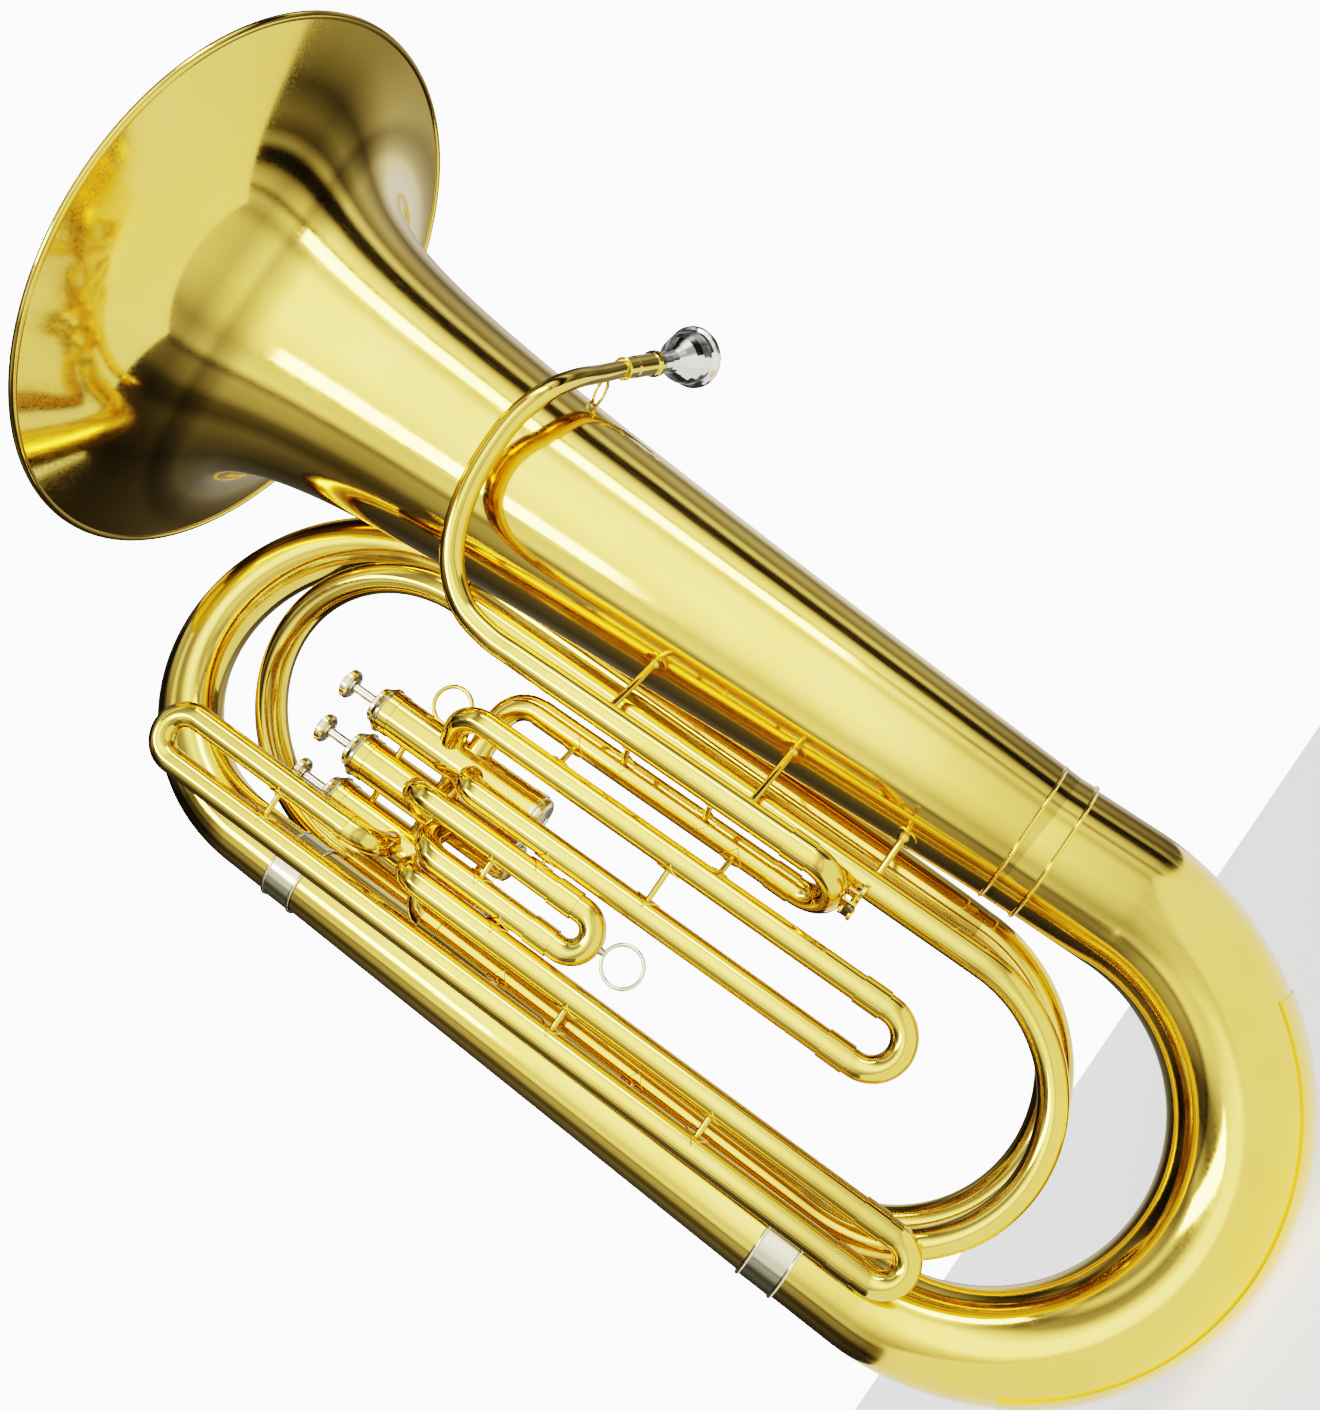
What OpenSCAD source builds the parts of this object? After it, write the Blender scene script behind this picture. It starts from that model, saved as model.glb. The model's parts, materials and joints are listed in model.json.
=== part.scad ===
// Upright three-valve piston tuba, bell up.
// Origin: the lowest point of the bottom bow, where the horn rests in a stand or on a lap.
// +Z runs up through the bell, +X from the outer branch towards the bell, -Y faces the audience.

/* [Bell] */
// Radius that the bell's cone starts from at its ferrule
throat_r = 43; // [42.5:0.1:43.5]
// Height of the bell above the middle of its ferrule
bell_h = 640; // [600:5:650]
// Outer radius of the rolled rim
rim_r = 197; // [185:1:200]
// Growth of the bell's radius per mm before the flare
bell_taper = 0.055; // [0.05:0.001:0.056]
// Height over which the flare opens
flare_h = 43; // [40:1:46]
// Radius of the rolled rim's wire
rim_wire_r = 2.6; // [2:0.1:3]
// Lean of the bell away from the valves, in degrees
bell_lean_x = 1.25; // [1.1:0.05:1.3]
// Lean of the bell towards the player, in degrees
bell_lean_y = 1.16; // [1.1:0.02:1.2]

/* [Main branches] */
// Sheet thickness of the bell, the bows and the wide tubes
sheet = 0.9; // [0.7:0.1:1]
// Distance between the bell's axis and the outer branch
branch_gap = 281.4; // [281:0.2:282]
// Height of the middle of the bell ferrule
ferrule_z = 236; // [235:0.5:237]
// Outer radius of the bottom bow at its small end
bow_small_r = 29.5; // [29:0.1:30]
// Outer radius of the outer branch at its lower end
branch_low_r = 28.6; // [28:0.2:29]
// Outer radius of the outer branch at its upper end
branch_top_r = 22.8; // [22.6:0.1:23]
// Outer radius of the top bow behind the bell
top_bow_end_r = 18.6; // [18.2:0.1:18.8]
// Outer radius of the rear loop
rear_r = 11.7; // [11.4:0.1:11.9]
// Outer radius of the front loop
front_r = 9; // [8.8:0.1:9.2]

/* [Valves] */
// Outer radius of a valve casing
casing_r = 13.7; // [13.6:0.1:13.8]
// Radius of a casing's bore
casing_bore_r = 12.2; // [12.1:0.05:12.25]
// Radius of a finger button
button_r = 9.6; // [9:0.2:10]

/* [Valve slides] */
// Outer radius of the fixed slide tubes
slide_r = 8.2; // [8.1:0.05:8.3]
// Outer radius of the sliding inner tubes
inner_slide_r = 7.5; // [7.45:0.05:7.55]
// Radius of the windway through the valve slides
windway_r = 7; // [6.95:0.05:7.05]
// Outer radius of the ferrules on the slide crooks
slide_ferrule_r = 9; // [8.9:0.05:9.1]

/* [Mouthpiece] */
// Outer radius of the mouthpiece rim
mouthpiece_r = 21.2; // [20.5:0.1:21.5]
// Length of the mouthpiece
mouthpiece_len = 76; // [75:0.5:77]
// Outer radius of the receiver
receiver_r = 8; // [7.8:0.1:8.2]

/* [Hidden] */

gold = [0.86, 0.68, 0.27];
nickel = [0.80, 0.79, 0.74];
silver = [0.90, 0.90, 0.88];
eps = 0.01;
run_fit = 0.05;      // radial clearance of a sliding fit
joint_gap = 0.15;    // degrees left open at each end of an elbow, where its joint is soldered
round_fn = 96;
sweep_sides = 32;

bell_x = branch_gap/2;
branch_x = -branch_gap/2;
rim_axis_h = bell_h - rim_wire_r;
slide_y = -60;       // plane of the valve slides, in front of the valves

// ---- geometry helpers -------------------------------------------------------------------

function unit(v) = v/norm(v);
function mix(a, b, t) = a + (b - a)*t;

// A station on a sweep: [centre, direction, outer radius]
function ring_points(station, side_ref, r, n) =
    let(u = unit(cross(station[1], side_ref)), v = cross(u, station[1]))
    [for (k = [0:n - 1]) station[0] + r*(cos(360*k/n)*u + sin(360*k/n)*v)];

// Stations along a circular arc whose plane holds the unit vectors e1 and e2
function arc_stations(centre, radius, e1, e2, a0, a1, r0, r1, steps) =
    [for (i = [0:steps]) let(t = i/steps, a = mix(a0, a1, t), s = sign(a1 - a0))
        [centre + radius*(cos(a)*e1 + sin(a)*e2),
         s*(-sin(a)*e1 + cos(a)*e2), mix(r0, r1, t)]];

// A Catmull-Rom curve through hand-set points, with its direction
function curve_point(p, i, t) =
    let(a = p[max(i - 1, 0)], b = p[i], c = p[i + 1], d = p[min(i + 2, len(p) - 1)])
    0.5*(2*b + (c - a)*t + (2*a - 5*b + 4*c - d)*t*t + (3*b - a - 3*c + d)*t*t*t);
function curve_dir(p, i, t) =
    let(a = p[max(i - 1, 0)], b = p[i], c = p[i + 1], d = p[min(i + 2, len(p) - 1)])
    unit((c - a) + 2*(2*a - 5*b + 4*c - d)*t + 3*(3*b - a - 3*c + d)*t*t);
function curve_stations(p, r0, r1, steps) =
    [for (i = [0:len(p) - 2]) for (j = [0:steps - (i == len(p) - 2 ? 0 : 1)])
        [curve_point(p, i, j/steps), curve_dir(p, i, j/steps),
         mix(r0, r1, (i + j/steps)/(len(p) - 1))]];

// A hollow tube swept along stations, with open ends
module swept_tube(stations, wall, side_ref, n = sweep_sides) {
    m = len(stations);
    outer = [for (s = stations) each ring_points(s, side_ref, s[2], n)];
    inner = [for (s = stations) each ring_points(s, side_ref, s[2] - wall, n)];
    shift = m*n;
    polyhedron(points = concat(outer, inner), faces = concat(
        [for (i = [0:m - 2]) for (k = [0:n - 1])
            [i*n + k, i*n + (k + 1)%n, (i + 1)*n + (k + 1)%n, (i + 1)*n + k]],
        [for (i = [0:m - 2]) for (k = [0:n - 1])
            [shift + (i + 1)*n + k, shift + (i + 1)*n + (k + 1)%n,
             shift + i*n + (k + 1)%n, shift + i*n + k]],
        [for (k = [0:n - 1]) [k, shift + k, shift + (k + 1)%n, (k + 1)%n]],
        [for (k = [0:n - 1]) let(a = (m - 1)*n)
            [a + (k + 1)%n, shift + a + (k + 1)%n, shift + a + k, a + k]]));
}

// A solid rod swept along stations
module swept_rod(stations, side_ref, n) {
    m = len(stations);
    last = (m - 1)*n;
    polyhedron(points = [for (s = stations) each ring_points(s, side_ref, s[2], n)], faces = concat(
        [for (i = [0:m - 2]) for (k = [0:n - 1])
            [i*n + k, i*n + (k + 1)%n, (i + 1)*n + (k + 1)%n, (i + 1)*n + k]],
        [[for (k = [n - 1:-1:0]) k], [for (k = [0:n - 1]) last + k]]));
}

// Points the Z axis from one point towards another
module along(from, to) {
    d = to - from;
    translate(from)
        rotate([0, acos(d.z/norm(d)), atan2(d.y, d.x)])
            children();
}

module rod(from, to, r) {
    along(from, to) cylinder(r = r, h = norm(to - from), $fn = 32);
}

// A straight hollow tube, conical where the two radii differ
module pipe(from, to, r0, r1, wall) {
    h = norm(to - from);
    along(from, to) difference() {
        cylinder(r1 = r0, r2 = r1, h = h, $fn = round_fn);
        translate([0, 0, -eps]) cylinder(r1 = r0 - wall, r2 = r1 - wall, h = h + 2*eps, $fn = round_fn);
    }
}

// A hollow arc of tube in an upright plane that stands at the angle facing
module arc_pipe(centre, bend, r, bore, facing, start, sweep) {
    translate(centre) rotate([0, 0, facing]) rotate([90, 0, 0]) rotate([0, 0, start])
        difference() {
            rotate_extrude(angle = sweep, $fn = round_fn) translate([bend, 0]) circle(r = r, $fn = 48);
            rotate([0, 0, -0.5])
                rotate_extrude(angle = sweep + 1, $fn = round_fn) translate([bend, 0]) circle(r = bore,
                    $fn = 48);
        }
}

// Two equal beads round a sleeve
module ferrule_beads(h, r, bead) {
    for (z = [bead, h - bead])
        translate([0, 0, z]) rotate_extrude($fn = round_fn) translate([r, 0]) circle(r = bead, $fn = 24);
}

// ---- bell ---------------------------------------------------------------------------------

flare_gain = rim_r - rim_wire_r - throat_r - bell_taper*rim_axis_h;
function bell_r(h) = throat_r + bell_taper*h + flare_gain*pow(flare_h/(flare_h + rim_axis_h - h), 1.6);
// Heights crowd towards the rim, where the outline turns fastest
bell_steps = 44;
function bell_height(i) = rim_axis_h*(1 - pow(1 - i/bell_steps, 2.2));
function bell_slope(h) = (bell_r(h) - bell_r(h - 0.2))/0.2;

module lean_bell() {
    translate([bell_x, 0, ferrule_z]) rotate([-bell_lean_y, bell_lean_x, 0]) children();
}

module bell() {
    outer = [for (i = [0:bell_steps]) let(h = bell_height(i)) [bell_r(h), h]];
    inner = [for (i = [bell_steps:-1:0]) let(h = bell_height(i), a = atan(bell_slope(h)))
        [bell_r(h) - sheet*cos(a), h + sheet*sin(a)]];
    color(gold) lean_bell() rotate_extrude($fn = 180) polygon(concat(outer, inner));
}

module bell_rim() {
    color(gold) lean_bell() translate([0, 0, rim_axis_h]) rotate_extrude($fn = 180)
        translate([rim_r - rim_wire_r, 0]) circle(r = rim_wire_r, $fn = 32);
}

bell_foot_r = bell_r(0);
ferrule_h = 24;
module bell_ferrule() {
    sleeve_r = bell_foot_r + 1;
    color(gold) difference() {
        translate([bell_x, 0, ferrule_z - ferrule_h/2]) union() {
            cylinder(r = sleeve_r, h = ferrule_h, $fn = round_fn);
            ferrule_beads(ferrule_h, sleeve_r, 1.4);
        }
        lean_bell() cylinder(r1 = bell_foot_r + 0.1, r2 = bell_r(40) + 0.1, h = 40, $fn = round_fn);
        translate([bell_x, 0, ferrule_z - 40]) cylinder(r = bell_foot_r + 0.02, h = 40.5, $fn = round_fn);
    }
}

// ---- bottom bow and its guard ---------------------------------------------------------

guard_t = 1.2;
guard_reach = 55;     // degrees of the bow that the guard covers on each side of the bottom
guard_half_width = 48;
bow_bend = branch_gap/2;
bow_mid_r = (bow_small_r + bell_foot_r)/2;
bow_z = bow_bend + bow_mid_r + guard_t + 0.06;
branch_low_z = 229.5; // joint between the bottom bow and the outer branch
X = [1, 0, 0];
Y = [0, 1, 0];
Z = [0, 0, 1];

module bottom_bow() {
    arc = arc_stations([0, 0, bow_z], bow_bend, X, Z, 180, 360, bow_small_r, bell_foot_r, 30);
    color(gold) swept_tube(concat([[[branch_x, 0, branch_low_z], -Z, branch_low_r]], arc,
        [[[bell_x, 0, ferrule_z - 2], Z, bell_foot_r]]), sheet, Y);
}

function bow_r(a) = mix(bow_small_r, bell_foot_r, (a - 180)/180);
function guard_ring(a) =
    let(out = [cos(a), 0, sin(a)], centre = [0, 0, bow_z] + bow_bend*out, r = bow_r(a) + 0.03,
        edge = [for (k = [-6:6]) k/6])
    concat([for (k = edge) let(w = k*guard_half_width, t = guard_t*min(1, 1.6 - 1.4*abs(k)))
                centre + (r + t)*(cos(w)*out + sin(w)*Y)],
        [for (k = edge) let(w = -k*guard_half_width) centre + r*(cos(w)*out + sin(w)*Y)]);

module bow_guard() {
    steps = 26;
    n = 26;
    rings = [for (i = [0:steps]) each guard_ring(270 + guard_reach*(2*i/steps - 1))];
    color(gold) polyhedron(points = rings, faces = concat(
        [for (i = [0:steps - 1]) for (k = [0:n - 1])
            [i*n + k, (i + 1)*n + k, (i + 1)*n + (k + 1)%n, i*n + (k + 1)%n]],
        [for (k = [0:11]) [k, k + 1, n - 2 - k, n - 1 - k]],
        [for (k = [0:11]) let(a = steps*n) [a + n - 1 - k, a + n - 2 - k, a + k + 1, a + k]]));
}

// ---- outer branch and top bow -----------------------------------------------------------

branch_foot = [branch_x, 0, branch_low_z + 0.5];
branch_head = [branch_x + 2.4, 5, 606];
top_bow_left = [branch_x + 3, 5.5, 650];
top_bow_right = [84, 74, 650];

module sleeve(from, to, r0, r1, wall, bead) {
    h = norm(to - from);
    along(from, to) difference() {
        union() {
            cylinder(r1 = r0 + wall, r2 = r1 + wall, h = h, $fn = round_fn);
            for (z = [bead, h - bead]) let(r = mix(r0, r1, z/h) + wall)
                translate([0, 0, z]) rotate_extrude($fn = round_fn)
                    translate([r, 0]) circle(r = bead, $fn = 24);
        }
        translate([0, 0, -1]) cylinder(r1 = r0 + 0.02 + (r0 - r1)/h, r2 = r1 + 0.02 + (r1 - r0)/h,
            h = h + 2, $fn = round_fn);
    }
}

module outer_branch() {
    color(gold) pipe(branch_foot, branch_head, branch_low_r, branch_top_r, sheet);
}

module lower_branch_ferrule() {
    color(nickel) sleeve([branch_x, 0, 217], [branch_x, 0, 242], branch_low_r + 0.3,
        branch_low_r + 0.05, 0.7, 1.2);
}

module upper_branch_ferrule() {
    up = unit(branch_head - branch_foot);
    mid = branch_head + 0.5*up;
    color(nickel) sleeve(mid - 11*up, mid + 12*up, branch_top_r + 0.25, branch_top_r + 0.1, 0.7, 1);
}

module top_bow() {
    across = unit(top_bow_left - top_bow_right);
    bend = norm(top_bow_left - top_bow_right)/2;
    arc = arc_stations((top_bow_left + top_bow_right)/2, bend, across, Z, 0, 180,
        branch_top_r - 0.3, top_bow_end_r, 26);
    color(gold) swept_tube(concat(
        [[branch_head + [0, 0.01, 1], Z, branch_top_r]], arc), sheet, cross(across, Z));
}

// ---- rear loop: down behind the bell, round the rear inner bow and up to the inner top bow ----

rear_right = [79.5, 38, 234.5];
rear_left = [-118.5, 38, 234.5];
inner_top_left = [-116.8, 36, 602.5];
inner_top_right = [66, -37, 602.5];

module rear_leg() {
    color(gold) swept_tube(curve_stations([rear_right, rear_right + [0.5, 1, 55],
        rear_right + [2.3, 12, 195], rear_right + [4, 26.5, 325], top_bow_right - 0.5*Z],
        rear_r, top_bow_end_r, 3), sheet, Y, 28);
}

module rear_leg_ferrule() {
    color(gold) sleeve(top_bow_right - [0, 1.4, 11], top_bow_right + [0, 0.1, 9],
        top_bow_end_r + 0.5, top_bow_end_r + 0.35, 0.7, 0.9);
}

module rear_inner_bow() {
    bend = (rear_right.x - rear_left.x)/2;
    color(gold) arc_pipe([(rear_right.x + rear_left.x)/2, rear_right.y, rear_right.z], bend,
        rear_r, rear_r - sheet, 0, 180, 180);
}

module rear_left_leg() {
    color(gold) pipe(rear_left, inner_top_left, rear_r, rear_r - 0.2, sheet);
}

module inner_top_bow() {
    across = unit(inner_top_left - inner_top_right);
    bend = norm(inner_top_left - inner_top_right)/2;
    color(gold) swept_tube(arc_stations((inner_top_left + inner_top_right)/2, bend, across, Z,
        0, 180, rear_r - 0.2, front_r + 0.4, 24), sheet, cross(across, Z), 24);
}

// ---- front loop: from the valves round the front inner bow to the inner top bow ------------

front_right = [63.3, -38, 225.4];
front_left = [-107.7, -38, 225.4];
outlet_z = 521;
outlet_bend = 13.5;
outlet_leg = [-103.2, -38, outlet_z - outlet_bend];

module front_right_leg() {
    color(gold) pipe(front_right, inner_top_right, front_r, front_r + 0.4, sheet);
}

module front_inner_bow() {
    bend = (front_right.x - front_left.x)/2;
    color(gold) arc_pipe([(front_right.x + front_left.x)/2, front_right.y, front_right.z], bend,
        front_r, front_r - sheet, 0, 180, 180);
}

module outlet_ferrule() {
    color(gold) sleeve(outlet_leg - [0, 0, 10.5], outlet_leg + [0, 0, 3], front_r, front_r, 0.7, 0.4);
}

// ---- valves -------------------------------------------------------------------------------

valve_1 = [-15.8, -35];
valve_step = [-32.4, 6.6];
valve_spots = [valve_1, valve_1 + valve_step, valve_1 + 2*valve_step];
casing_low = 492;
casing_high = 604;
piston_low = 512;
piston_high = 597;
cap_low = 483;
cap_high = 613.6;
stem_r = 3;
knuckle_z = 545;
knuckle_r = 7.9;

function spot(i) = valve_spots[i - 1];
function facing(from, to) = atan2(to.y - from.y, to.x - from.x);

module at_valve(i) {
    translate([spot(i).x, spot(i).y, 0]) children();
}

// A leg's elbow, up (or down) from the leg and then level, and its stub that ends on a casing
module valve_elbow(leg, valve, bend, r, bore, down = false) {
    turn = facing(leg, valve);
    middle = leg + bend*[cos(turn), sin(turn), 0];
    level = middle + [0, 0, down ? -bend : bend];
    arc_pipe(middle, bend, r, bore, turn, (down ? 180 : 90) + joint_gap, 90 - 2*joint_gap);
    difference() {
        pipe(level, [valve.x, valve.y, level.z], r, r, r - bore);
        translate([valve.x, valve.y, casing_low]) cylinder(r = casing_r + 0.01, h = 120, $fn = round_fn);
    }
}

// The bore that a port cuts through a casing's wall
module port_hole(valve, leg, z, r) {
    translate([valve.x, valve.y, z]) rotate([0, 0, facing(valve, leg)]) rotate([0, 90, 0])
        cylinder(r = r, h = casing_r + 4, $fn = 48);
}

first_left = [-22.9, slide_y];
first_right = [13.5, slide_y];
second_left = [-68.1, slide_y];
second_right = [-41.8, slide_y - 2];
third_left = [-115.2, slide_y];
third_right = [-86.2, slide_y];
third_upper_right = [-84.4, slide_y];
tuning_left = [37, -40];
tuning_right = [58.2, -70];
first_elbow_z = 520.5;
lower_elbow_z = 517;
upper_elbow_z = 539;
third_upper_z = 574.5;
tuning_top_z = 522;
tight_bend = 12;
short_bend = 16;
inlet_bend = 19;
upper_bend = 18;

module casing(i, ports) {
    color(gold) difference() {
        at_valve(i) union() {
            translate([0, 0, casing_low]) cylinder(r = casing_r, h = casing_high - casing_low,
                $fn = round_fn);
            translate([0, 0, casing_high - 7]) cylinder(r = casing_r + 0.6, h = 7, $fn = round_fn);
            translate([0, 0, casing_low]) cylinder(r = casing_r + 0.4, h = 6, $fn = round_fn);
        }
        at_valve(i) translate([0, 0, casing_low - 1])
            cylinder(r = casing_bore_r, h = casing_high - casing_low + 2, $fn = round_fn);
        for (p = ports) port_hole(spot(i), p[0], p[1], windway_r);
    }
}

module valve_casing_1() {
    casing(1, [[first_left, first_elbow_z + tight_bend], [first_right, upper_elbow_z + upper_bend],
        [tuning_left, tuning_top_z + inlet_bend], [spot(2), knuckle_z]]);
}

module valve_casing_2() {
    casing(2, [[second_left, lower_elbow_z + short_bend], [second_right, upper_elbow_z + upper_bend],
        [spot(1), knuckle_z], [spot(3), knuckle_z]]);
}

module valve_casing_3() {
    casing(3, [[third_right, lower_elbow_z + short_bend], [third_upper_right, third_upper_z - upper_bend],
        [outlet_leg, outlet_z], [spot(2), knuckle_z]]);
}

// Short tubes and stay rods that join the casings
module valve_knuckles() {
    color(gold) for (i = [1:2]) {
        a = spot(i);
        b = spot(i + 1);
        difference() {
            union() {
                pipe([a.x, a.y, knuckle_z], [b.x, b.y, knuckle_z], knuckle_r, knuckle_r,
                    knuckle_r - windway_r);
                rod([a.x, a.y, 584], [b.x, b.y, 584], 2.2);
                rod([a.x, a.y, 503], [b.x, b.y, 503], 2.2);
            }
            at_valve(i) translate([0, 0, casing_low - 1]) cylinder(r = casing_r + 0.01, h = 130,
                $fn = round_fn);
            at_valve(i + 1) translate([0, 0, casing_low - 1]) cylinder(r = casing_r + 0.01, h = 130,
                $fn = round_fn);
        }
    }
}

// Tube that leads from the main tuning slide into the first valve
module valve_inlet_tube() {
    color(gold) valve_elbow(at_z(tuning_left, tuning_top_z), spot(1), inlet_bend, slide_r, windway_r);
}

// Tube that leads from the third valve down into the front loop
module valve_outlet_tube() {
    color(gold) {
        valve_elbow(outlet_leg, spot(3), outlet_bend, front_r, front_r - sheet);
        pipe(front_left, outlet_leg - [0, 0, 0.3], front_r, front_r, sheet);
    }
}

module piston(i) {
    h = piston_high - piston_low;
    r = casing_bore_r - run_fit;
    color(silver) at_valve(i) difference() {
        union() {
            difference() {
                translate([0, 0, piston_low]) cylinder(r = r, h = h, $fn = round_fn);
                translate([0, 0, piston_low + 2]) cylinder(r = r - 1, h = h - 3, $fn = round_fn);
                translate([0, 0, piston_low - 1]) cylinder(r = 5, h = 4, $fn = 48);
            }
            for (z = [knuckle_z, knuckle_z + 22]) translate([0, 0, z]) rotate([0, 90, 168 - z/2])
                intersection() {
                    translate([0, 0, -r]) cylinder(r = windway_r + 0.8, h = 2*r, $fn = 48);
                    rotate([0, 90, 0]) translate([0, 0, -20]) cylinder(r = r, h = 40, $fn = round_fn);
                }
            translate([0, 0, piston_high - 0.5]) cylinder(r = stem_r, h = 34.5, $fn = 48);
        }
        for (z = [knuckle_z, knuckle_z + 22]) translate([0, 0, z]) rotate([0, 90, 168 - z/2])
            translate([0, 0, -r - 1]) cylinder(r = windway_r, h = 2*r + 2, $fn = 48);
    }
}

module piston_1() { piston(1); }
module piston_2() { piston(2); }
module piston_3() { piston(3); }

module button(i) {
    color(nickel) at_valve(i) translate([0, 0, 631.1]) rotate_extrude($fn = round_fn) polygon([
        [0, 0.2], [5, 0.2], [5.2, 1.4], [button_r - 1.4, 0.9], [button_r, 2.2], [button_r, 5.2],
        [button_r - 0.8, 6.2], [button_r - 2, 6.4], [button_r - 2.4, 5.9], [0, 5.9]]);
}

module button_1() { button(1); }
module button_2() { button(2); }
module button_3() { button(3); }

spring_low = 485.6;
module valve_spring(i) {
    turns = 6;
    steps = 12*turns;
    coil_r = 8.6;
    h = piston_low - spring_low - 1.4;
    path = [for (k = [0:steps]) let(a = 360*turns*k/steps, t = k/steps)
        [[coil_r*cos(a), coil_r*sin(a), spring_low + 0.7 + h*t],
         unit([-sin(a), cos(a), h/(2*PI*coil_r*turns)]), 0.6]];
    color(silver) at_valve(i) swept_rod(path, Z, 6);
}

module valve_spring_1() { valve_spring(1); }
module valve_spring_2() { valve_spring(2); }
module valve_spring_3() { valve_spring(3); }

module top_caps() {
    color(nickel) for (i = [1:3]) at_valve(i) rotate_extrude($fn = round_fn) polygon([
        [stem_r + 0.3, 601], [10, 601], [10, 598.5], [12.1, 598.5], [12.1, casing_high + 0.05],
        [15.1, casing_high + 0.05], [15.5, 604.8], [15.3, 606], [14, 607.2], [12.6, 609.4], [11.7, 610],
        [11.7, 612], [10.9, 612.9], [6, cap_high], [stem_r + 0.3, cap_high]]);
}

module bottom_caps() {
    color(nickel) for (i = [1:3]) at_valve(i) difference() {
        rotate_extrude($fn = round_fn) polygon([[1.5, cap_low + 0.6], [4, cap_low], [10.5, cap_low + 0.8],
            [12.6, cap_low + 2.2], [13.4, cap_low + 4], [13.4, 488.6], [14.3, 489.4], [14.3,
                casing_low - 0.05],
            [12.1, casing_low - 0.05], [12.1, 494], [10.8, 494], [10.8, 485.5], [1.5, 485.5]]);
    }
}

module cap_felts() {
    color([0.15, 0.14, 0.13]) for (i = [1:3]) at_valve(i) translate([0, 0, 597.3]) difference() {
        cylinder(r = 9.7, h = 3.6, $fn = 64);
        translate([0, 0, -1]) cylinder(r = stem_r + 0.5, h = 6, $fn = 64);
    }
}

// ---- slides -------------------------------------------------------------------------------

function at_z(leg, z) = [leg.x, leg.y, z];

// The sliding part: two inner legs with their ferrules, and the crook between them
module crook(a, b, top, ferrule_len, bend_z, insert, tube_r, inner_r, bore, band_r) {
    arc_pipe(at_z((a + b)/2, bend_z), norm(b - a)/2, tube_r, bore, facing(a, b),
        180 + joint_gap, 180 - 2*joint_gap);
    for (leg = [a, b]) difference() {
        union() {
            translate(at_z(leg, bend_z)) cylinder(r = tube_r, h = top - bend_z - 1, $fn = round_fn);
            translate(at_z(leg, top - ferrule_len)) cylinder(r = band_r, h = ferrule_len, $fn = round_fn);
            translate(at_z(leg, top - 2)) cylinder(r = inner_r, h = insert + 2, $fn = round_fn);
        }
        translate(at_z(leg, bend_z - 1)) cylinder(r = bore, h = top - bend_z + insert + 2, $fn = round_fn);
    }
}

gap = 0.1;            // play between a crook's ferrules and the tubes above
valve_crook_r = slide_r - 0.1;
first_top = 274.8;
second_top = 449.1;
third_top = 207.4;
tuning_top = 353;
tuning_r = 8.7;
tuning_inner_r = 8;
tuning_bore_r = 7.4;

module slide_tube(leg, low, high, r = slide_r, inner_r = inner_slide_r) {
    pipe(at_z(leg, low), at_z(leg, high), r, r, r - inner_r - run_fit);
}

module first_slide() {
    color(gold) crook(first_left, first_right, first_top - gap, 17, 254.6, 92, valve_crook_r,
        inner_slide_r, windway_r, slide_ferrule_r);
}

module first_slide_tubes() {
    color(gold) {
        slide_tube(first_left, first_top, first_elbow_z);
        slide_tube(first_right, first_top, upper_elbow_z);
        valve_elbow(at_z(first_left, first_elbow_z), spot(1), tight_bend, slide_r, windway_r);
        valve_elbow(at_z(first_right, upper_elbow_z), spot(1), upper_bend, slide_r, windway_r);
    }
}

module second_slide() {
    color(gold) crook(second_left, second_right, second_top - gap, 16, 428.5, 50, valve_crook_r,
        inner_slide_r, windway_r, slide_ferrule_r);
}

module second_slide_tubes() {
    color(gold) {
        slide_tube(second_left, second_top, lower_elbow_z);
        slide_tube(second_right, second_top, upper_elbow_z);
        valve_elbow(at_z(second_left, lower_elbow_z), spot(2), short_bend, slide_r, windway_r);
        valve_elbow(at_z(second_right, upper_elbow_z), spot(2), upper_bend, slide_r, windway_r);
    }
}

pull_ring_r = 12.6;
module second_slide_pull_ring() {
    mid = (second_left + second_right)/2;
    wire = 1.25;
    z = 428.5 - norm(second_right - second_left)/2 - valve_crook_r;
    color(nickel) {
        translate(at_z(mid, z - 3.2 - pull_ring_r)) rotate([90, 0, 0])
            rotate_extrude($fn = round_fn) translate([pull_ring_r, 0]) circle(r = wire, $fn = 24);
        translate(at_z(mid, z - 3.4)) cylinder(r1 = 1.8, r2 = 2.6, h = 3.7, $fn = 32);
    }
}

module third_slide() {
    color(gold) crook(third_left, third_right, third_top - gap, 16, 184, 110, valve_crook_r,
        inner_slide_r, windway_r, slide_ferrule_r);
}

module third_slide_tubes() {
    color(gold) {
        slide_tube(third_left, third_top, 678);
        slide_tube(third_right, third_top, lower_elbow_z);
        valve_elbow(at_z(third_right, lower_elbow_z), spot(3), short_bend, slide_r, windway_r);
    }
}

module third_slide_loop() {
    a = third_left;
    b = third_upper_right;
    bend_z = 693.5;
    color(gold) {
        arc_pipe(at_z((a + b)/2, bend_z), norm(b - a)/2, slide_r, windway_r, facing(a, b),
            joint_gap, 180 - 2*joint_gap);
        pipe(at_z(a, 678), at_z(a, bend_z), slide_r, slide_r, slide_r - windway_r);
        pipe(at_z(b, third_upper_z), at_z(b, bend_z), slide_r, slide_r, slide_r - windway_r);
        pipe(at_z(b, third_upper_z + 0.5), at_z(b, third_upper_z + 5), slide_r + 0.5, slide_r + 0.5, 0.48);
        valve_elbow(at_z(b, third_upper_z), spot(3), upper_bend, slide_r, windway_r, down = true);
    }
}

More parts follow.
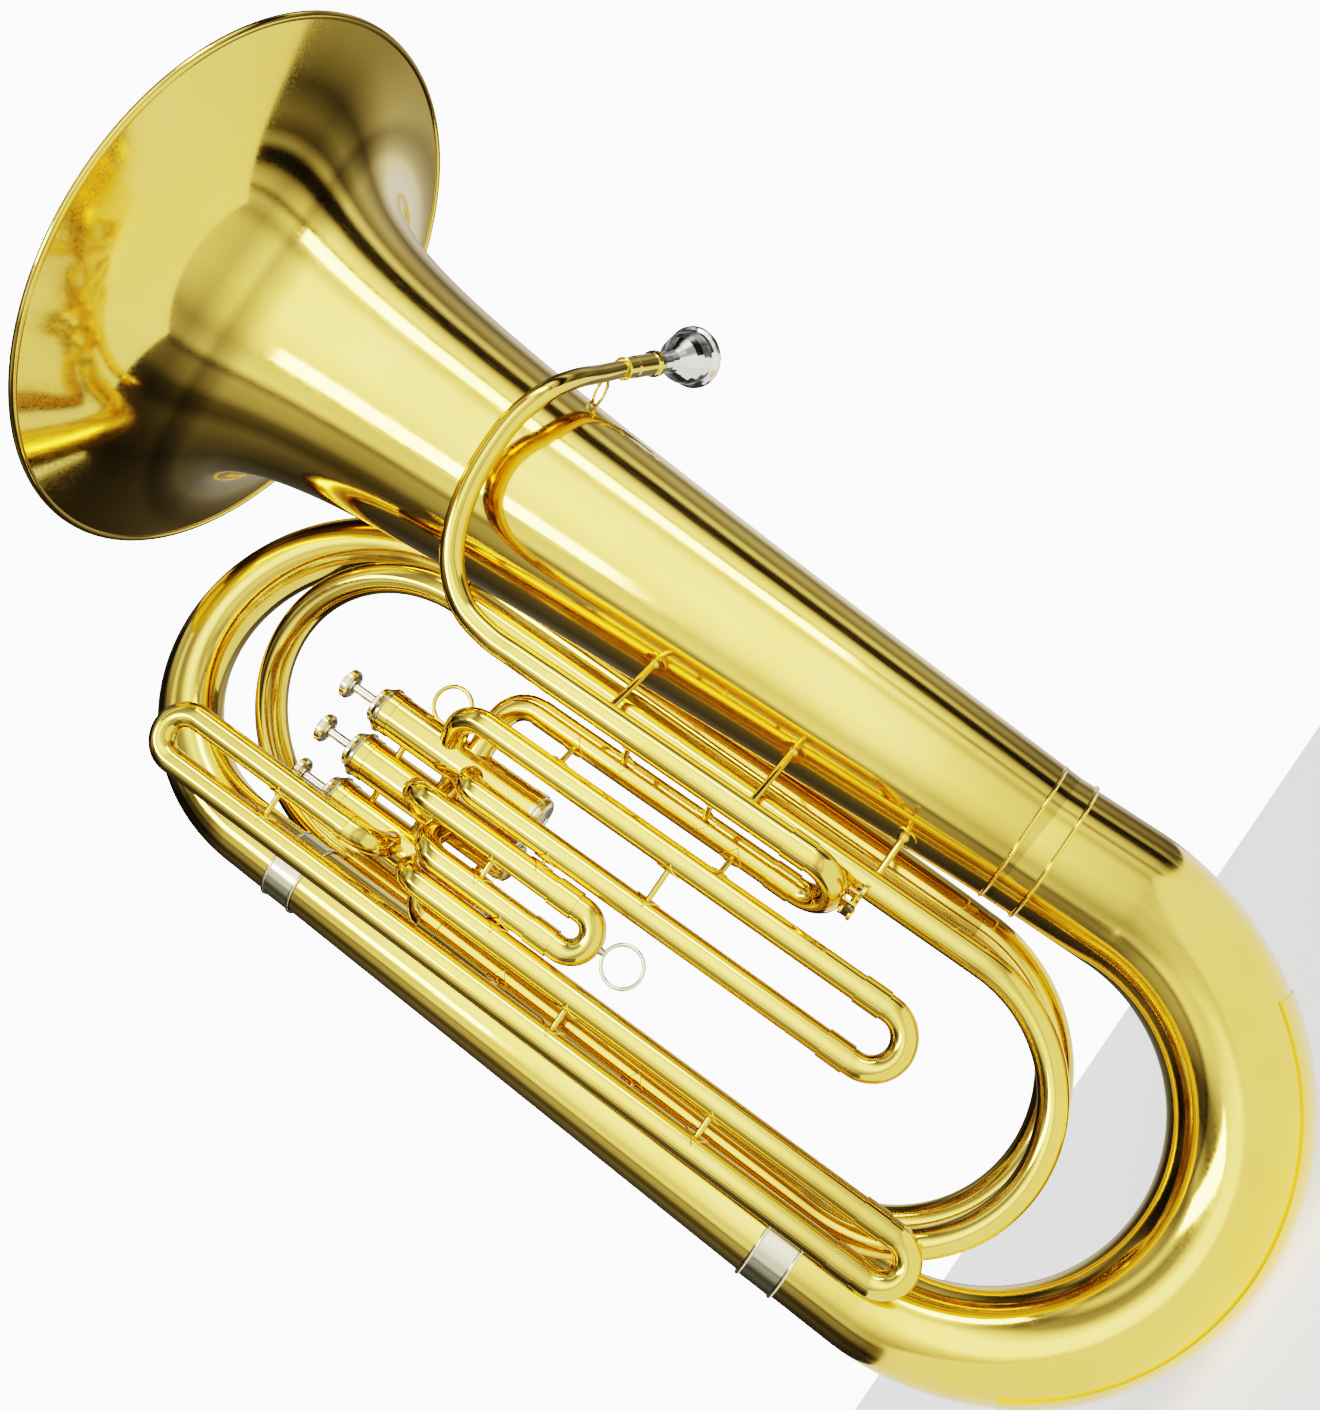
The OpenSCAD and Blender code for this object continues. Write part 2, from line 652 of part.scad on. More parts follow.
module tuning_slide() {
    color(gold) crook(tuning_left, tuning_right, tuning_top - gap, 16, 335.5, 66, tuning_r - 0.1,
        tuning_inner_r, tuning_bore_r, tuning_r + 0.7);
}

module tuning_slide_tubes() {
    color(gold) for (leg = [tuning_left, tuning_right])
        slide_tube(leg, tuning_top, tuning_top_z, tuning_r, tuning_inner_r);
}

// ---- leadpipe, receiver and mouthpiece ------------------------------------------------------

mouth_dir = unit([0.499, 0.8626, -0.083]);
receiver_len = 46;
receiver_start = [245.5, -8, 613.7];
lead_turns = [at_z(tuning_right, tuning_top_z + 0.1), at_z(tuning_right, 545), [58.5, -70, 566],
    [64, -70.5, 589], [79, -73, 607.5], [99, -77, 618.5], [124, -81, 624.5], [150, -83.5, 626],
    [175, -83, 624.5], [200, -74, 620], [217.5, -55.5, 617], [231.5, -31.5, 615], receiver_start];

module leadpipe() {
    color(gold) swept_tube(curve_stations(lead_turns, tuning_r - 0.1, 5.6, 3), sheet,
        [-1, 1, 1], 24);
}

module mouthpiece_receiver() {
    far = receiver_start + receiver_len*mouth_dir;
    color(gold) difference() {
        along(receiver_start + 0.1*mouth_dir, far) rotate_extrude($fn = round_fn) polygon([[0, 0],
            [6.8, 0], [7.5, 0.8], [7.5, 2], [6.8, 2.8], [6.9, 12], [7.3, 14], [7.3, receiver_len - 10],
            [receiver_r, receiver_len - 9], [receiver_r + 0.8, receiver_len - 7],
            [receiver_r + 0.8, receiver_len - 3], [receiver_r, receiver_len - 1],
            [receiver_r - 0.8, receiver_len - 0.2], [0, receiver_len - 0.2]]);
        along(far - 27*mouth_dir, far + mouth_dir) cylinder(r1 = 5.9, r2 = 6.6, h = 28, $fn = round_fn);
        along(receiver_start - mouth_dir, far) cylinder(r = 4.7, h = receiver_len, $fn = round_fn);
    }
}

insert_len = 23;
module mouthpiece() {
    start = receiver_start + (receiver_len - insert_len)*mouth_dir;
    l = mouthpiece_len;
    color(silver) along(start, start + mouth_dir) rotate_extrude($fn = round_fn) polygon([
        [4.1, 0], [5.7, 0], [6.35, insert_len + 3], [6.9, 34], [8.2, 40], [11.4, 46], [15, 52],
        [17, 58], [17.9, 64], [18.2, 67], [19, 69], [20.6, 70.6], [mouthpiece_r, 72.6],
        [mouthpiece_r, l - 1.6], [mouthpiece_r - 1.2, l - 0.2], [mouthpiece_r - 3, l],
        [mouthpiece_r - 4.4, l - 0.6], [16, l - 2.4], [15.2, l - 8], [13.4, l - 16], [10, l - 23],
        [6, l - 28], [3.9, l - 31], [3.8, l - 36], [4.1, 20]]);
}

// ---- water key ------------------------------------------------------------------------------

key_mid = (tuning_left + tuning_right)/2;
key_turn = facing(tuning_left, tuning_right);
crook_low = 335.5 - norm(tuning_right - tuning_left)/2 - tuning_r + 0.1;
pin_x = 7;            // hinge pin, measured from the crook's lowest point along its plane
pin_drop = 4.4;

module at_key() {
    translate([key_mid.x, key_mid.y, crook_low]) rotate([0, 0, key_turn]) children();
}

module water_key_saddle() {
    color(gold) at_key() {
        difference() {
            translate([pin_x, 0, -pin_drop - 2.6]) union() {
                for (s = [-1, 1]) translate([-3, s*4 - 0.8, 0]) cube([6, 1.6, 9]);
            }
            translate([pin_x, 10, -pin_drop]) rotate([90, 0, 0]) cylinder(r = 1.25, h = 20, $fn = 32);
            translate([0, 0, norm(tuning_right - tuning_left)/2 + tuning_r - 0.1]) rotate([90, 0, 0])
                rotate_extrude($fn = round_fn) translate([norm(tuning_right - tuning_left)/2, 0])
                    circle(r = tuning_r - 0.08, $fn = 48);
        }
        translate([-6.5, 0, -1.2]) difference() {
            cylinder(r = 3.4, h = 2, $fn = 32);
            translate([0, 0, -1]) cylinder(r = 2, h = 4, $fn = 32);
            translate([6.5, 0, norm(tuning_right - tuning_left)/2 + tuning_r + 1.1]) rotate([90, 0, 0])
                rotate_extrude($fn = round_fn) translate([norm(tuning_right - tuning_left)/2, 0])
                    circle(r = tuning_r - 0.08, $fn = 48);
        }
    }
}

module water_key() {
    color(gold) at_key() {
        difference() {
            union() {
                translate([pin_x, 2.9, -pin_drop]) rotate([90, 0, 0]) cylinder(r = 2.2, h = 5.8, $fn = 32);
                translate([pin_x, 7, -pin_drop]) rotate([90, 0, 0]) cylinder(r = 1.2, h = 14, $fn = 32);
                translate([-6, -1.7, -pin_drop - 2.6]) cube([pin_x + 6, 3.4, 1.8]);
                translate([pin_x, -1.7, -pin_drop - 2.6]) cube([13, 3.4, 1.8]);
                translate([pin_x + 14, 0, -pin_drop - 2.8]) cylinder(r = 4.4, h = 2, $fn = 48);
                translate([-6.5, 0, -pin_drop - 3.4]) cylinder(r = 4, h = 2.4, $fn = 48);
            }
        }
    }
}

module water_key_cork() {
    color([0.72, 0.55, 0.36]) at_key() translate([-6.5, 0, -pin_drop - 1]) cylinder(r = 3.1,
        h = pin_drop - 0.3, $fn = 48);
}

module water_key_spring() {
    color(silver) at_key() for (s = [-1, 1]) translate([pin_x, s*6.2, -pin_drop]) {
        rotate([90, 0, 0]) translate([0, 0, -0.9]) difference() {
            cylinder(r = 2.3, h = 1.8, $fn = 32);
            translate([0, 0, -1]) cylinder(r = 1.3, h = 4, $fn = 32);
        }
    }
}

// ---- braces ---------------------------------------------------------------------------------

// A kite-shaped foot wrapped on a round tube, pointing along the angle turn
module kite_foot(leg, z, tube_r, turn, size = 8) {
    translate(at_z(leg, z)) rotate([0, 0, turn]) intersection() {
        difference() {
            translate([0, 0, -size]) cylinder(r = tube_r + 0.8, h = 2*size, $fn = 64);
            translate([0, 0, -size - 1]) cylinder(r = tube_r + 0.02, h = 2*size + 2, $fn = 64);
        }
        rotate([45, 0, 0]) translate([0, -size*0.7, -size*0.7]) cube([tube_r + 2, size*1.4, size*1.4]);
    }
}

// A stay between two upright tubes, with a foot on each
module stay(a, b, z, ra, rb, r = 1.9) {
    turn = facing(a, b);
    kite_foot(a, z, ra, turn);
    kite_foot(b, z, rb, turn + 180);
    u = unit(b - a);
    difference() {
        rod(at_z(a, z), at_z(b, z), r);
        translate(at_z(a, z - 9)) cylinder(r = ra + 0.3, h = 18, $fn = 64);
        translate(at_z(b, z - 9)) cylinder(r = rb + 0.3, h = 18, $fn = 64);
    }
}

module slide_braces() {
    color(gold) {
        stay(first_left, first_right, 401, slide_r, slide_r);
        stay(second_left, second_right, 490, slide_r, slide_r);
        stay(third_left, third_right, 405, slide_r, slide_r);
        stay(third_left, third_right, 303, slide_r, slide_r);
        stay(third_left, third_upper_right, 623, slide_r, slide_r);
        stay(second_left, third_right, 466, slide_r, slide_r, 1.5);
        stay(second_right, first_left, 464, slide_r, slide_r, 1.5);
        stay(tuning_left, tuning_right, 461, tuning_r, tuning_r);
        stay(tuning_left, tuning_right, 402, tuning_r, tuning_r);
        stay(first_right, tuning_left, 491, slide_r, tuning_r);
        stay(first_right, tuning_left, 376, slide_r, tuning_r);
    }
}

module loop_braces() {
    color(gold) {
        for (z = [350, 450]) stay(mix(front_left, outlet_leg, (z - 225.4)/275.6), third_left, z,
            front_r, slide_r);
        stay([64.7, -37.5], tuning_right, 441, front_r + 0.2, tuning_r);
    }
}

function bell_axis(z) = [bell_x + (z - ferrule_z)*tan(bell_lean_x), (z - ferrule_z)*tan(bell_lean_y), z];

// A rod from a tube to the bell, ending in a round pad on the bell's wall
module bell_stay(from, z, r) {
    axis = bell_axis(z);
    d = unit([axis.x - from.x, axis.y - from.y, 0]);
    foot = axis - (bell_r(z - ferrule_z) - 0.1)*d;
    difference() {
        union() {
            rod(from, foot + d, r);
            along(foot - 1.3*d, foot + 2*d) cylinder(r = 8, h = 3, $fn = 48);
            along(foot - 4*d, foot) cylinder(r1 = r + 0.4, r2 = 3.8, h = 3.5, $fn = 32);
        }
        lean_bell() translate([0, 0, z - ferrule_z - 20])
            cylinder(r1 = bell_r(z - ferrule_z - 20) + 0.25, r2 = bell_r(z - ferrule_z + 20) + 0.25,
                h = 40, $fn = 180);
    }
}

module bell_braces() {
    color(gold) {
        for (z = [482, 383]) difference() {
            bell_stay([tuning_right.x, tuning_right.y, z], z, 2.2);
            translate(at_z(tuning_right, z - 12)) cylinder(r = tuning_r + 0.02, h = 24, $fn = 64);
        }
        for (z = [302]) difference() {
            bell_stay([63.8, -38, z], z, 2.2);
            translate([63.7, -38, z - 12]) cylinder(r = front_r + 0.12, h = 24, $fn = 64);
        }
    }
}

// A wire loop between the bell and the end of the leadpipe
module receiver_brace() {
    tube = receiver_start - 12*mouth_dir;
    axis = bell_axis(tube[2]);
    out = unit(tube - axis);
    inner = bell_r(tube[2] - ferrule_z);
    outer = norm(tube - axis) - 5.8;
    mid = axis + out*(inner + outer)/2;
    side = unit(0.62*[0, 0, 1] + 0.78*[-out[1], out[0], 0]);
    color(gold) along(mid, mid + cross(out, side)) rotate_extrude($fn = round_fn)
        translate([(outer - inner)/2 - 0.6, 0]) circle(r = 1.1, $fn = 32);
}

module thumb_ring() {
    ring_r = 12.2;
    color(gold) difference() {
        translate([spot(1).x + casing_r + ring_r - 0.6, spot(1).y - 2, 571]) rotate([90, 0, 0])
            rotate_extrude($fn = round_fn) translate([ring_r, 0]) circle(r = 1.4, $fn = 24);
        at_valve(1) translate([0, 0, casing_low]) cylinder(r = casing_r + 0.01, h = 100, $fn = round_fn);
    }
}

bell();
bell_rim();
bell_ferrule();
bottom_bow();
bow_guard();
lower_branch_ferrule();
outer_branch();
upper_branch_ferrule();
top_bow();
rear_leg_ferrule();
rear_leg();
rear_inner_bow();
rear_left_leg();
inner_top_bow();
front_right_leg();
front_inner_bow();
valve_outlet_tube();
outlet_ferrule();
leadpipe();
mouthpiece_receiver();
mouthpiece();
tuning_slide_tubes();
tuning_slide();
valve_inlet_tube();
water_key();
water_key_cork();
water_key_spring();
water_key_saddle();
valve_casing_1();
valve_casing_2();
valve_casing_3();
valve_knuckles();
piston_1();
piston_2();
piston_3();
button_1();
button_2();
button_3();
valve_spring_1();
valve_spring_2();
valve_spring_3();
top_caps();
bottom_caps();
cap_felts();
first_slide_tubes();
first_slide();
second_slide_tubes();
second_slide();
second_slide_pull_ring();
third_slide_tubes();
third_slide();
third_slide_loop();
bell_braces();
slide_braces();
loop_braces();
receiver_brace();
thumb_ring();
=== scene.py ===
# %% [markdown]
# # A three-valve tuba in Blender
# The tuba's frame comes from its CAD model: every tube, valve, ferrule and slide already has its
# true size and moves on its own joint. Blender adds what the eye needs: smooth bows and a smooth
# bell in place of the faceted ones, polished lacquered brass, silver trim and soft studio light.

# %% Load the frame
import bpy
import math
from mathutils import Matrix, Vector
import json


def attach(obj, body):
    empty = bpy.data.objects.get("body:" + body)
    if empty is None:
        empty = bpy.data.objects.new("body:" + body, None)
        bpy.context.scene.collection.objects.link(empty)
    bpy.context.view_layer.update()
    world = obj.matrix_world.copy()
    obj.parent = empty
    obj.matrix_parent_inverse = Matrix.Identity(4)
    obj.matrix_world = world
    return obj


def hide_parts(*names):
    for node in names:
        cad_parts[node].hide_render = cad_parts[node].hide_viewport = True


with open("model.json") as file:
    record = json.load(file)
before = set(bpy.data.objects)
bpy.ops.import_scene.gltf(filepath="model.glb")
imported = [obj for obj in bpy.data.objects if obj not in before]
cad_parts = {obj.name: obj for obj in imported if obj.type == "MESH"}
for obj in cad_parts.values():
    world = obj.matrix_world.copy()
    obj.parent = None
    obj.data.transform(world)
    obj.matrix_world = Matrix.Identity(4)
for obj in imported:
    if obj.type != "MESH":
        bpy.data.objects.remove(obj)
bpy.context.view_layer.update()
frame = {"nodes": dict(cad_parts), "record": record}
node = frame["nodes"]

# %% [markdown]
# ## Camera
# The horn is seen from its audience side, a little below the middle of the bell, with a normal
# lens. The camera is rolled 55 degrees, so that the horn lies across the picture with its bell at
# the upper left. Building the camera's axes from a level view and one roll angle keeps them square.

# %% Camera
ROLL = math.radians(55)
level_right = Vector((0.9999, 0.0013, -0.0138))
look = Vector((0.0015, 0.9801, 0.1986)).normalized()
level_right = (level_right - level_right.dot(look)*look).normalized()
level_up = level_right.cross(look)
cam_right = math.cos(ROLL)*level_right - math.sin(ROLL)*level_up
cam_up = math.sin(ROLL)*level_right + math.cos(ROLL)*level_up
bpy.ops.object.select_all(action="DESELECT")
bpy.ops.object.camera_add()
camera = bpy.context.object
camera.matrix_world = Matrix.Translation((0.08026, -0.9158, 0.2862)) @ Matrix(
    (cam_right, cam_up, -look)).transposed().to_4x4()
camera.data.sensor_width = 36
camera.data.lens = 38.19
camera.data.clip_start = 0.01
bpy.context.scene.camera = camera
print("camera at", [round(c, 3) for c in camera.location])

# %% [markdown]
# ## Colours and nodes
# Two small helpers serve every material. The first turns a paint-shop hex code into the linear
# light values that Blender works with. The second adds one shader node with its settings, fixed
# inputs and links, so that each material below reads as a short recipe.

# %% Colour helper and node helper
def linear(hex_code):
    """The linear colour of an sRGB hex code such as C9A227."""
    parts = [int(hex_code[i:i + 2], 16)/255 for i in (0, 2, 4)]
    return [c/12.92 if c <= 0.04045 else ((c + 0.055)/1.055)**2.4 for c in parts] + [1.0]


def add(tree, kind, settings=None, links=None, values=None):
    """Adds one node: its settings, the links into its inputs, and its fixed input values."""
    n = tree.nodes.new(kind)
    for key, value in (settings or {}).items():
        setattr(n, key, value)
    for key, value in (values or {}).items():
        n.inputs[key].default_value = value
    for key, source in (links or {}).items():
        tree.links.new(source, n.inputs[key])
    return n


def fill_ramp(node, stops):
    """Sets a colour ramp's stops from (position, grey level or hex code) pairs."""
    ramp = node.color_ramp
    while len(ramp.elements) > 1:
        ramp.elements.remove(ramp.elements[-1])
    for k, (spot, shade) in enumerate(stops):
        e = ramp.elements[0] if k == 0 else ramp.elements.new(spot)
        e.position = spot
        e.color = linear(shade) if isinstance(shade, str) else [shade, shade, shade, 1.0]
    return node


print("brass tint in linear light:", [round(c, 3) for c in linear("EFD06A")])

# %% [markdown]
# ## Light and floor
# Polished metal shows its surroundings and little else. Brass looks like brass when a bright
# window faces it, the room behind is dimmer, and a few narrow dark things break the light up. So
# the world is a room drawn with two ramps: one goes round the compass, from behind the horn,
# past the left wall to the window behind the camera and on to the right wall; the other goes from
# the ground up to the ceiling. What the camera sees directly is a plain white backdrop. Film-like
# tone mapping lets the brightest brass turn pale, as it does to the eye and in print.

# %% Studio world
world = bpy.data.worlds.new("studio")
bpy.context.scene.world = world
world.use_nodes = True
sky = world.node_tree
sky.nodes.clear()
facing = add(sky, "ShaderNodeTexCoord")
axes = add(sky, "ShaderNodeSeparateXYZ", links={"Vector": facing.outputs["Generated"]})
back_y = add(sky, "ShaderNodeMath", {"operation": "MULTIPLY"}, {0: axes.outputs["Y"]}, {1: -1.0})
compass = add(sky, "ShaderNodeMath", {"operation": "ARCTAN2"},
              {0: axes.outputs["X"], 1: back_y.outputs[0]})
round_room = add(sky, "ShaderNodeMapRange", links={"Value": compass.outputs[0]},
                 values={"From Min": -math.pi, "From Max": math.pi})
WINDOW_LIGHT, BACKDROP_LIGHT = 2.6, 5.0
# Degrees from the camera's own direction, negative on the left, and the light there, in windows
ROOM = [(-180, 0.16), (-160, 0.05), (-135, 0.025), (-118, 0.04), (-104, 0.06), (-92, 0.03),
        (-82, 0.05), (-74, 0.16), (-62, 0.20), (-56, 0.09), (-50, 0.55), (-36, 0.42), (-20, 0.78),
        (0, 1.0), (34, 0.95), (44, 0.50), (54, 0.9), (60, 0.16), (65, 0.8), (74, 0.45),
        (80, 0.015), (90, 0.012), (96, 0.42), (104, 0.08), (116, 0.20), (130, 0.07), (146, 0.36),
        (166, 0.30), (180, 0.16)]
walls = fill_ramp(add(sky, "ShaderNodeValToRGB", links={"Fac": round_room.outputs["Result"]}),
                  [((a + 180)/360, light) for a, light in ROOM])
# From straight down (0) past the horizon (0.5) to straight up (1): a dim ground, bright walls at
# eye height, a dark ceiling with one lit panel
HEIGHTS = [(0.0, 0.45), (0.25, 0.28), (0.36, 0.50), (0.40, 0.30), (0.46, 0.55), (0.50, 0.95),
           (0.62, 1.0), (0.70, 0.55), (0.76, 0.18), (0.84, 0.12), (0.90, 0.50), (0.94, 0.14),
           (1.0, 0.25)]
rise = add(sky, "ShaderNodeMapRange", links={"Value": axes.outputs["Z"]},
           values={"From Min": -1.0, "From Max": 1.0})
upright = fill_ramp(add(sky, "ShaderNodeValToRGB", links={"Fac": rise.outputs["Result"]}),
                    HEIGHTS)
room = add(sky, "ShaderNodeMix", {"data_type": "RGBA", "blend_type": "MULTIPLY"},
           values={0: 1.0})
sky.links.new(walls.outputs["Color"], room.inputs[6])
sky.links.new(upright.outputs["Color"], room.inputs[7])
glow = add(sky, "ShaderNodeBackground", links={"Color": room.outputs[2]},
           values={"Strength": WINDOW_LIGHT})
backdrop = add(sky, "ShaderNodeBackground",
               values={"Color": [1.0, 1.0, 1.0, 1.0], "Strength": BACKDROP_LIGHT})
ray = add(sky, "ShaderNodeLightPath")
either = add(sky, "ShaderNodeMixShader", links={0: ray.outputs["Is Camera Ray"],
                                                1: glow.outputs[0], 2: backdrop.outputs[0]})
add(sky, "ShaderNodeOutputWorld", links={"Surface": either.outputs[0]})
bpy.context.scene.view_settings.view_transform = "Filmic"
bpy.context.scene.view_settings.look = "High Contrast"
print("world: window behind the camera,", len(ROOM), "stops round the room")

# %% Floor
# A table-sized sheet of matt white paper, lit a little from below so that it stays pale
FLOOR_SIZE, FLOOR_GLOW = 1.6, 0.7
bpy.ops.object.select_all(action="DESELECT")
bpy.ops.mesh.primitive_plane_add(size=FLOOR_SIZE, location=(0.05, 0.1, -0.0005))
floor = bpy.context.object
floor.name = "floor"
paper = bpy.data.materials.new("matt_white_paper")
paper.use_nodes = True
sheet = paper.node_tree.nodes["Principled BSDF"]
sheet.inputs["Base Color"].default_value = linear("F6F6F4")
sheet.inputs["Roughness"].default_value = 0.95
sheet.inputs["Emission Color"].default_value = linear("FFFFFF")
sheet.inputs["Emission Strength"].default_value = FLOOR_GLOW
floor.data.materials.append(paper)
print("floor:", floor.dimensions[:2])

# %% Softboxes
def softbox(name, at, aim, size, power):
    """A rectangular soft lamp that faces a point."""
    bpy.ops.object.select_all(action="DESELECT")
    bpy.ops.object.light_add(type="AREA", location=at)
    lamp = bpy.context.object
    lamp.name = name
    lamp.data.shape = "RECTANGLE"
    lamp.data.size, lamp.data.size_y = size
    lamp.data.energy = power
    lamp.rotation_euler = (Vector(aim) - Vector(at)).to_track_quat("-Z", "Y").to_euler()


softbox("key_softbox", (-0.9, -2.0, 1.7), (0.05, 0, 0.45), (0.5, 1.6), 22)
softbox("fill_softbox", (1.9, -1.3, 1.2), (0.05, 0, 0.45), (0.4, 1.6), 14)

# %% [markdown]
# ## Brass, nickel silver and silver plate
# The horn is yellow brass, an alloy of copper and zinc, drawn or spun to shape, buffed and sprayed
# with clear lacquer. Buffing leaves very fine lines along each tube, and the lacquer gives a
# second, sharper reflection over the metal's own. Rings, caps and buttons are nickel silver, and
# the mouthpiece is silver plated. All three are the same recipe with other values: a metal whose
# tint drifts slowly, hairline scratches in the roughness, and the faintest unevenness in a bump.

# %% Metal recipe
GRAINS_PER_CELL = 4  # noise with this much detail shows about four grains across one cell


def polished_metal(name, tint, deep_tint, roughness, grain_mm=0.35, lacquer=0.0):
    """A buffed metal. The hairlines run up the horn and are drawn grain_mm apart."""
    m = bpy.data.materials.new(name)
    m.use_nodes = True
    t = m.node_tree
    shader = t.nodes["Principled BSDF"]
    place = add(t, "ShaderNodeTexCoord")
    # Tint drifts over about 60 mm, as lacquer thickness does
    drift = add(t, "ShaderNodeTexNoise", links={"Vector": place.outputs["Object"]},
                values={"Scale": 16.0, "Detail": 2.0, "Roughness": 0.5})
    tone = add(t, "ShaderNodeMix", {"data_type": "RGBA"}, {0: drift.outputs["Fac"]})
    tone.inputs[6].default_value = linear(tint)
    tone.inputs[7].default_value = linear(deep_tint)
    t.links.new(tone.outputs[2], shader.inputs["Base Color"])
    # Hairlines: a noise squeezed to grain_mm across and drawn out along Z
    squeeze = add(t, "ShaderNodeMapping", links={"Vector": place.outputs["Object"]})
    squeeze.inputs["Scale"].default_value = (1.0, 1.0, 0.02)
    hair = add(t, "ShaderNodeTexNoise", links={"Vector": squeeze.outputs["Vector"]},
               values={"Scale": 1000/(grain_mm*GRAINS_PER_CELL), "Detail": 3.0, "Roughness": 0.6})
    rough = add(t, "ShaderNodeMapRange", links={"Value": hair.outputs["Fac"]},
                values={"From Min": 0.3, "From Max": 0.75, "To Min": roughness*0.6,
                        "To Max": roughness*1.6})
    t.links.new(rough.outputs["Result"], shader.inputs["Roughness"])
    # Hand buffing leaves the wall very slightly wavy, over 25 mm and a few microns deep
    wave = add(t, "ShaderNodeTexNoise", links={"Vector": place.outputs["Object"]},
               values={"Scale": 22.0, "Detail": 1.0, "Roughness": 0.4})
    bump = add(t, "ShaderNodeBump", links={"Height": wave.outputs["Fac"]},
               values={"Strength": 0.12, "Distance": 0.001})
    t.links.new(bump.outputs["Normal"], shader.inputs["Normal"])
    shader.inputs["Metallic"].default_value = 1.0
    shader.inputs["Coat Weight"].default_value = lacquer
    shader.inputs["Coat Roughness"].default_value = 0.03
    return m


lacquered_brass = polished_metal("lacquered_yellow_brass", "EFD06A", "E6BF50", 0.10, lacquer=0.6)
nickel_silver = polished_metal("polished_nickel_silver", "E9E2BE", "DDD6B0", 0.16)
silver_plate = polished_metal("bright_silver_plate", "F2F0E8", "E4E2DA", 0.10)
print("metals:", lacquered_brass.name, nickel_silver.name, silver_plate.name)

# %% [markdown]
# ## Felt, cork and spring wire
# Small parts inside the valves and on the water key are not brass: pressed wool felt rings that
# quieten the valves, a cork pad that seals the water key, and drawn steel wire springs.

# %% Soft parts
def dull(name, light, dark, grain_mm, metal=0.0, roughness=0.9):
    """A dull material whose fibres or grain are grain_mm across."""
    m = bpy.data.materials.new(name)
    m.use_nodes = True
    t = m.node_tree
    shader = t.nodes["Principled BSDF"]
    place = add(t, "ShaderNodeTexCoord")
    grain = add(t, "ShaderNodeTexNoise", links={"Vector": place.outputs["Object"]},
                values={"Scale": 1000/(grain_mm*GRAINS_PER_CELL), "Detail": 4.0})
    tone = add(t, "ShaderNodeMix", {"data_type": "RGBA"}, {0: grain.outputs["Fac"]})
    tone.inputs[6].default_value = linear(light)
    tone.inputs[7].default_value = linear(dark)
    t.links.new(tone.outputs[2], shader.inputs["Base Color"])
    bump = add(t, "ShaderNodeBump", links={"Height": grain.outputs["Fac"]},
               values={"Strength": 0.4, "Distance": grain_mm/1000})
    t.links.new(bump.outputs["Normal"], shader.inputs["Normal"])
    shader.inputs["Metallic"].default_value = metal
    shader.inputs["Roughness"].default_value = roughness
    return m


wool_felt = dull("black_wool_felt", "2B2826", "131211", 0.3)
dark_cork = dull("dark_cork", "4A3524", "1E150E", 0.8)
spring_wire = dull("drawn_spring_wire", "9A9890", "77756E", 0.2, metal=1.0, roughness=0.3)

# %% Materials on the CAD parts
finish = {"lacquered_brass": lacquered_brass, "nickel_silver": nickel_silver,
          "silver_plate": silver_plate, "spring_steel": spring_wire, "felt": wool_felt,
          "cork": dark_cork}
for part in frame["record"]["subparts"]:
    mesh = node[part["node"]].data
    mesh.materials.clear()
    mesh.materials.append(finish[part["material_slot"]])

# %% [markdown]
# ## Bent tubes
# A tuba maker bends a tapered tube round a form. In Blender the same shape starts as one open
# circle at the tube's end. The circle is extruded to the next station along the bend, turned to
# face the way the tube goes there and scaled to the tube's width, again and again. Solidify then
# gives the sheet its thickness. It is smoother than the CAD model's faceted bend and just as true.

# %% Ring sweep
MM = 0.001


